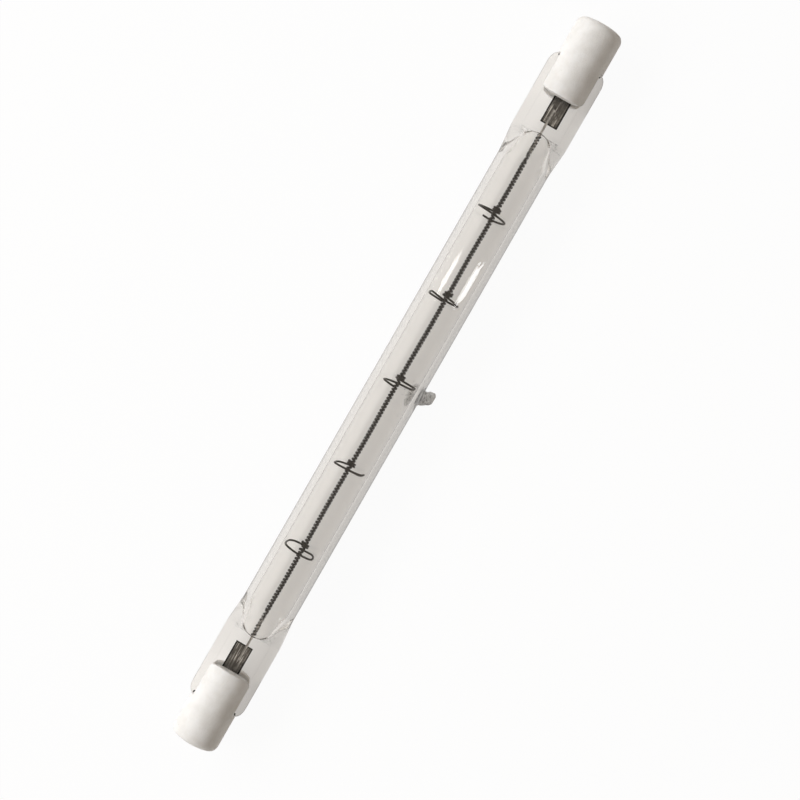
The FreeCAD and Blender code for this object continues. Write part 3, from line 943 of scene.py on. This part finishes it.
def foil_marks(tree):
    """White along either foil's rim, left dark by etching, and white where the lead is welded."""
    x, y, _ = lamp_axes(tree)
    shift = times(math_node("SIGN", x), -FOIL_OFFSET * MM)
    across = math_node("ABSOLUTE", plus(y, shift))
    along = math_node("ABSOLUTE", x)
    side = faded(across, SIDE_RIM, FOIL_HALF_WIDTH)
    start = faded(along, START_RIM, FOIL_START)
    weld = faded(along, WELD_FADE, FOIL_START)
    return math_node("MAXIMUM", side, start), weld


def make_molybdenum(name, dark, light, roughness, etched=False):
    material, tree, shader = new_material(name)
    shader.inputs["Metallic"].default_value = 1.0
    lines = placed(tree, DRAWN, "Shade", Size=0.12)
    blotches = placed(tree, GRAIN, "Shade", Size=0.7)
    colour = mix_colour(times(lines, blotches), dark, light)
    if etched:
        rim, weld = foil_marks(tree)
        bright = times(weld, spread(lines, 0.72, 0.86))
        colour = mix_colour(bright, colour, WELD_BRIGHT)
        colour = mix_colour(rim, colour, ETCHED)
    rough = spread(blotches, 0.0, 1.0, roughness, roughness + 0.15)
    dress(tree, shader, colour, rough, lines, 0.01)
    return material


FOIL_METAL = make_molybdenum(
    "molybdenum_foil", (0.1, 0.098, 0.094, 1), (0.4, 0.39, 0.375, 1), 0.33, etched=True
)
LEAD_METAL = make_molybdenum("molybdenum_lead", (0.3, 0.29, 0.28, 1), (0.85, 0.83, 0.8, 1), 0.3)

# %% Leads with a pressed flat, and foils
# Each lead's start and end along the lamp, and its radius.
INNER_LEAD, OUTER_LEAD = (38.2, 45.4, 0.18), (49.0, 55.8, 0.3)
NOSE_SHARE, NOSE_RINGS, LEAST_NOSE = 0.6, 5, 0.02
FLAT_MARGIN, FLAT_GAP = 0.2, 0.002
# Each wave's height, its rate along the foil and its slant across it.
FOIL_WAVES = ((0.012, 2.1, 3), (0.008, 5.3, -2))
FEATHER, NIBBLE, NIBBLE_RATE = 0.85, 0.012, 7


def lead_rings(start, end, radius, count=24):
    """A round rod with rounded ends that lies flat on the foil where they overlap."""
    nose = radius * NOSE_SHARE
    steps = [0.0] + opening_out(0, nose, NOSE_RINGS)[:-1]
    stations = [start + step for step in steps]
    stations += np.linspace(start + nose, end - nose, 40).tolist()
    stations += [end - step for step in reversed(steps)]
    rings = []
    for x in stations:
        into_nose = 1 - min(1.0, min(x - start, end - x) / nose)
        y, z = np.array(circle(count)) * radius * math.sqrt(max(LEAST_NOSE, 1 - into_nose**2))
        if FOIL_START - FLAT_MARGIN < x < FOIL_END + FLAT_MARGIN:
            z = np.maximum(z, FOIL_TOP + FLAT_GAP)
        rings.append(ring_at(x, y, z))
    return rings


def foil_sheet(rows=64, columns=18):
    """The foil with feathered edges and slow waves, as rings round its width."""
    across = np.linspace(-1, 1, columns)
    thick = 0.5 * FOIL_THICKNESS * (1 - FEATHER * np.abs(across) ** 3)
    rings = []
    for x in np.linspace(FOIL_START, FOIL_END, rows):
        y = FOIL_OFFSET + across * FOIL_HALF_WIDTH * (1 - NIBBLE * abs(math.sin(NIBBLE_RATE * x)))
        wave = sum(high * np.sin(rate * x + slant * across) for high, rate, slant in FOIL_WAVES)
        middle = FOIL_TOP - FOIL_THICKNESS / 2 + wave
        top, under = ring_at(x, y, middle + thick), ring_at(x, y, middle - thick)
        rings.append(np.vstack([top, under[::-1]]))
    return rings


for side in SIDES:
    for what, rings, metal in (
        ("inner_lead", lead_rings(*INNER_LEAD), LEAD_METAL),
        ("outer_lead", lead_rings(*OUTER_LEAD), LEAD_METAL),
        ("sealing_foil", foil_sheet(), FOIL_METAL),
    ):
        rings = [toward(ring, side) for ring in rings]
        place_rings(f"{what}_{side}_piece", rings, metal, "molybdenum", f"{what}_{side}")

# %% [markdown]
# ## White pressed ceramic
#
# The caps are steatite, pressed dry and fired: a dense white body with a dry sheen, a very
# fine grain and a few dark specks from the die. Handling leaves faint grey rubs. Light
# sinks in a little at the edges, which a short subsurface radius gives.


# %% Ceramic
CHALK, WHITE_CERAMIC = (0.81, 0.805, 0.79, 1), (0.88, 0.88, 0.875, 1)
PEPPER_BROWN, PEPPER_SHARE = (0.33, 0.3, 0.27, 1), 0.4


def make_ceramic():
    material, tree, shader = new_material("pressed_ceramic")
    fill(shader, {"Subsurface Weight": 0.15, "Subsurface Radius": (1.0, 0.9, 0.8)})
    feed(shader.inputs["Subsurface Scale"], 0.4 * MM)
    grain = placed(tree, GRAIN, "Shade", Size=0.16)
    cloud = placed(tree, GRAIN, "Shade", Size=2.6)
    specks = placed(tree, SPECKS, "Mask", Size=1.1, Cover=0.07)
    colour = mix_colour(cloud, CHALK, WHITE_CERAMIC)
    colour = mix_colour(times(specks, PEPPER_SHARE), colour, PEPPER_BROWN)
    dress(tree, shader, colour, spread(grain, 0.0, 1.0, 0.46, 0.62), grain, 0.012)
    return material


CERAMIC = make_ceramic()
print("ceramic", len(CERAMIC.node_tree.nodes), "nodes")

# %% [markdown]
# ## Ceramic caps
#
# A cap is a turned-looking blank with a rounded shoulder, a recess for the contact, and a
# slot that leaves two rounded tongues over the seal. Cutting the slot with a boolean gives
# knife edges that no pressed ceramic has. So the cut blank is rebuilt on a fine voxel grid
# and smoothed a little, which rounds every edge by about a tenth of a millimetre.

# %% The cap's blank
CAP_RADIUS = 3.6
END_FACE, CONTACT_FACE, CONTACT_SEAT = 58.8, 57.1, 56.5
SLOT_FLOOR, TONGUE_END = 52.65, 46.95
HALF_SLOT = 1.5
RECESS_RADIUS, POCKET_RADIUS, SHANK_HOLE_RADIUS = 1.6, 1.4, 0.8
EDGE_LENGTH, EDGE_DEPTH, LIP = 1.1, 0.75, 0.2
BLANK_START, HOLE_END = TONGUE_END - 0.3, SLOT_FLOOR - 0.4
ON_AXIS = 0.01


def turned_rings(profile, count=96):
    """Rings about the lamp's axis from a profile of (along, radius)."""
    across, up = circle(count)
    return [ring_at(x, radius * across, radius * up) for x, radius in profile]


def cap_profile():
    shoulder, rim = (END_FACE - EDGE_LENGTH, CAP_RADIUS), (END_FACE, CAP_RADIUS - EDGE_DEPTH)
    lip, inside = (END_FACE, RECESS_RADIUS + LIP), (END_FACE - LIP, RECESS_RADIUS)
    outside = [(BLANK_START, ON_AXIS), (BLANK_START, CAP_RADIUS), shoulder]
    recess = [(CONTACT_FACE, RECESS_RADIUS), (CONTACT_FACE, POCKET_RADIUS)]
    pocket = [(CONTACT_SEAT, POCKET_RADIUS), (CONTACT_SEAT, SHANK_HOLE_RADIUS)]
    hole = [(HOLE_END, SHANK_HOLE_RADIUS), (HOLE_END, ON_AXIS)]
    outside += arc(shoulder, rim, True) + [lip] + arc(lip, inside, False, 4)
    return outside + recess + pocket + hole


print("cap", round(END_FACE - TONGUE_END, 2), "mm long")

# %% Prisms that cut the blank
BESIDE, PAST_END, ROOT_START = 4.2, END_FACE + 1, SLOT_FLOOR - 0.4
TONGUE_HALF, TONGUE_REACH, TONGUE_POWER = 3.34, 1.5, 3.4
SLOT_MOUTH, SLOT_CORNER = TONGUE_END - 2, ((0, 0), (0.15, 0.04), (0.26, 0.15), (0.3, 0.3))


def prism(outline, low, high):
    """A flat outline of (x, y) pulled up along z."""
    count = len(outline)
    points = [(*point, z) for z in (low, high) for point in outline]
    faces = [tuple(range(count))[::-1], tuple(range(count, 2 * count))]
    faces += [(k, after, count + after, count + k) for k, after in neighbours(range(count))]
    return points, faces


def tongue_outline():
    """The cap seen from above: straight sides and softly convex ends of the tongues."""
    outline = [(PAST_END, BESIDE), (PAST_END, -BESIDE), (SLOT_FLOOR, -BESIDE)]
    outline.append((ROOT_START, -TONGUE_HALF))
    for share in shares(40)[:-1]:
        across, up = -math.cos(math.pi * share), math.sin(math.pi * share)
        scale = abs(across) ** TONGUE_POWER + abs(up) ** TONGUE_POWER
        scale **= -1 / TONGUE_POWER
        x = TONGUE_END + TONGUE_REACH - TONGUE_REACH * up * scale
        outline.append((x, TONGUE_HALF * across * scale))
    return outline + [(ROOT_START, TONGUE_HALF), (SLOT_FLOOR, BESIDE)]


def slot_outline():
    """The slot seen from the side, as (x, z), with rounded corners at its floor."""
    corner_start = SLOT_FLOOR - SLOT_CORNER[-1][0]
    lower = [(corner_start + x, z - HALF_SLOT) for x, z in SLOT_CORNER]
    upper = [(x, -z) for x, z in reversed(lower)]
    return [(SLOT_MOUTH, HALF_SLOT), (SLOT_MOUTH, -HALF_SLOT)] + lower + upper


# %% Cut, rebuild and smooth
def worked_mesh(name, blank, cuts, voxel, smoothing):
    """Booleans, a voxel rebuild and smoothing, applied to a copy in millimetres."""
    base = new_object(name, outward_mesh(name, *blank))
    things = [base]
    for operation, shape in cuts:
        tool = new_object(operation, outward_mesh(operation, *shape))
        things.append(tool)
        cut = base.modifiers.new(operation, "BOOLEAN")
        cut.operation, cut.solver, cut.object = operation, "EXACT", tool
    rebuild = base.modifiers.new("rebuild", "REMESH")
    rebuild.mode, rebuild.voxel_size = "VOXEL", voxel
    smooth = base.modifiers.new("smooth", "SMOOTH")
    smooth.factor, smooth.iterations = 0.5, smoothing
    graph = bpy.context.evaluated_depsgraph_get()
    mesh = bpy.data.meshes.new_from_object(base.evaluated_get(graph))
    for thing in things:
        bpy.data.objects.remove(thing)
    return mesh


def swapped(shape):
    """A prism drawn in (x, z), turned so that it runs along y."""
    points, faces = shape
    return np.asarray(points)[:, [0, 2, 1]], faces


BEYOND_CAP, VOXEL, SMOOTHING_ROUNDS = 5, 0.12, 4
from_above, from_the_side = (
    prism(outline, -BEYOND_CAP, BEYOND_CAP) for outline in (tongue_outline(), slot_outline())
)
cuts = [("INTERSECT", from_above), ("DIFFERENCE", swapped(from_the_side))]
blank = closed_skin(turned_rings(cap_profile()))
cap_mesh = worked_mesh("cap_blank", blank, cuts, VOXEL, SMOOTHING_ROUNDS)
for side in SIDES:
    mesh = cap_mesh.copy()
    move_points(mesh, lambda points: toward(points, side))
    place_piece(f"cap_{side}_piece", mesh, CERAMIC, "ceramic", f"ceramic_cap_{side}", crease=180)

# %% [markdown]
# ## Contacts and cement
#
# The contact is a small turned rivet with a crowned face, plated against corrosion. The
# lampholder's spring presses on it, so its face shows fine turning rings and a dull worn
# middle. The cement that holds cap and seal together is coarse, off-white and matt.


# %% Plated contact
PLATING_DARK, PLATING_LIGHT = (0.5, 0.47, 0.43, 1), (0.68, 0.65, 0.61, 1)
WORN_COLOUR, WORN_SHARE, WORN_FADE = (0.4, 0.37, 0.33, 1), 0.4, (0.9, 0.3)
TURNING_PITCH = 0.07


def make_contact_metal():
    material, tree, shader = new_material("plated_contact")
    shader.inputs["Metallic"].default_value = 1.0
    grain = placed(tree, GRAIN, "Shade", Size=0.25)
    squares = [math_node("POWER", axis, 2.0) for axis in lamp_axes(tree)[1:]]
    reach = math_node("SQRT", plus(*squares))
    turns = times(reach, 2 * math.pi / (TURNING_PITCH * MM))
    worn = faded(reach, WORN_FADE)
    colour = mix_colour(grain, PLATING_DARK, PLATING_LIGHT)
    colour = mix_colour(times(worn, WORN_SHARE), colour, WORN_COLOUR)
    rough = plus(spread(grain, 0, 1, 0.22, 0.34), times(worn, 0.2))
    dress(tree, shader, colour, rough, math_node("SINE", turns), 0.004)
    return material


# %% Cement
CEMENT_DARK, CEMENT_LIGHT = (0.6, 0.57, 0.52, 1), (0.76, 0.74, 0.7, 1)


def make_cement():
    material, tree, shader = new_material("cap_cement")
    grain = placed(tree, GRAIN, "Shade", Size=0.35)
    colour = mix_colour(grain, CEMENT_DARK, CEMENT_LIGHT)
    dress(tree, shader, colour, spread(grain, 0.0, 1.0, 0.75, 0.92), grain, 0.06)
    return material


# %% Contact pieces, and the cement's own finish
CONTACT_METAL, CEMENT = make_contact_metal(), make_cement()
CONTACT_PROFILE = [
    (54.6, 0.32), (54.6, 0.7), (54.65, 0.75), (56.45, 0.75), (56.5, 0.8), (56.5, 1.3), (56.54, 1.34),
    (56.6, 1.35), (56.8, 1.35), (56.9, 1.33), (56.97, 1.26), (57.03, 1.1), (57.07, 0.85), (57.09, 0.55),
    (57.1, 0.25), (57.1, 0.02),
]
for side in SIDES:
    rings = [toward(ring, side) for ring in turned_rings(CONTACT_PROFILE, 64)]
    place_rings(f"contact_{side}_piece", rings, CONTACT_METAL, "contact_metal", f"contact_{side}")
    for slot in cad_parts[f"cap_cement_{side}"].material_slots:
        slot.material = CEMENT

# %% [markdown]
# ## A pale table and soft light
#
# The photo was lit softly from its left, in a slightly warm room, with the background cut
# to white. The floor is a pale matt sheet that still catches the bulb's shadow. Camera,
# glossy and see-through rays find it close to white, and other rays find a plain sheet, so
# no extra light falls on the bulb. A broad soft box on the left gives the ceramic its
# bright side, and a narrow window on the right is seen only as a streak on glass and metal.

# %% How white the surroundings look to each kind of ray
def seen_as_white(tree, direct, mirrored, through):
    """A share for what the camera sees directly, in a mirror and through glass."""
    rays = add_node(tree, "ShaderNodeLightPath")
    camera_ray, glossy, passed = (
        rays.outputs[f"Is {kind} Ray"] for kind in ("Camera", "Glossy", "Transmission")
    )
    # a ray that has passed through glass counts as glossy too
    only_mirrored = times(glossy, math_node("SUBTRACT", 1.0, passed))
    indirect = plus(times(only_mirrored, mirrored), times(passed, through))
    return plus(times(camera_ray, direct), indirect)


# %% Floor
FLOOR_HALF, FLOOR_COLOUR, WHITE = 3, (0.9, 0.88, 0.855, 1), (1, 1, 1, 1)


def make_floor():
    material, tree, shader = new_material("pale_floor")
    fill(shader, {"Base Color": FLOOR_COLOUR, "Roughness": 0.9})
    glow = add_node(tree, "ShaderNodeEmission")
    fill(glow, {"Color": WHITE, "Strength": 1.0})
    share = seen_as_white(tree, direct=0.95, mirrored=0.6, through=0.35)
    show_either(tree, share, shader.outputs["BSDF"], glow.outputs["Emission"])
    return material


corners = [(x * FLOOR_HALF, y * FLOOR_HALF, 0) for x, y in ((-1, -1), (1, -1), (1, 1), (-1, 1))]
floor_mesh = bpy.data.meshes.new("floor")
floor_mesh.from_pydata(corners, [], [(0, 1, 2, 3)])
floor_mesh.materials.append(make_floor())
floor = new_object("floor", floor_mesh)
print("floor", 2 * FLOOR_HALF, "m wide")

# %% World
WARM, ROOM_STRENGTH, ROOM_WHITENING = (1, 0.89, 0.77, 1), 0.28, 0.72
world = bpy.data.worlds.new("soft_room")
world.use_nodes = True
bpy.context.scene.world = world
room_tree = world.node_tree
room = room_tree.nodes["Background"]
whiter = seen_as_white(room_tree, direct=1.0, mirrored=0.4, through=0.5)
feed(room.inputs["Strength"], plus(times(whiter, ROOM_WHITENING), ROOM_STRENGTH))
seen_directly = seen_as_white(room_tree, direct=1.0, mirrored=0.0, through=0.0)
feed(room.inputs["Color"], mix_colour(seen_directly, WARM, WHITE))
print("world", len(room_tree.nodes), "nodes")


# %% Lamps
def soft_box(name, toward_light, distance, width, height, power):
    """A rectangular lamp that looks at the bulb's middle."""
    data = bpy.data.lights.new(name, "AREA")
    data.shape, data.size, data.size_y, data.energy = "RECTANGLE", width, height, power
    lamp = new_object(name, data)
    direction = Vector(toward_light).normalized()
    lamp.location = direction * distance + Vector((0, 0, TUBE_RADIUS * MM))
    lamp.rotation_mode = "QUATERNION"
    lamp.rotation_quaternion = direction.to_track_quat("Z", "Y")
    print(name, "lamp of", power, "W at", distance, "m")
    return lamp


KEY_SIDE = (-0.15, 0.8, 0.58)
WINDOW_RISE = math.radians(32)
WINDOW_SIDE = (0.065, -math.cos(WINDOW_RISE), math.sin(WINDOW_RISE))
key = soft_box("key", KEY_SIDE, distance=0.6, width=0.9, height=0.22, power=4.2)
key.visible_glossy = False
key.visible_transmission = False
window = soft_box("window", WINDOW_SIDE, distance=0.7, width=0.022, height=0.2, power=0.2)
window.visible_diffuse = False
bpy.context.scene.view_settings.view_transform = "Standard"
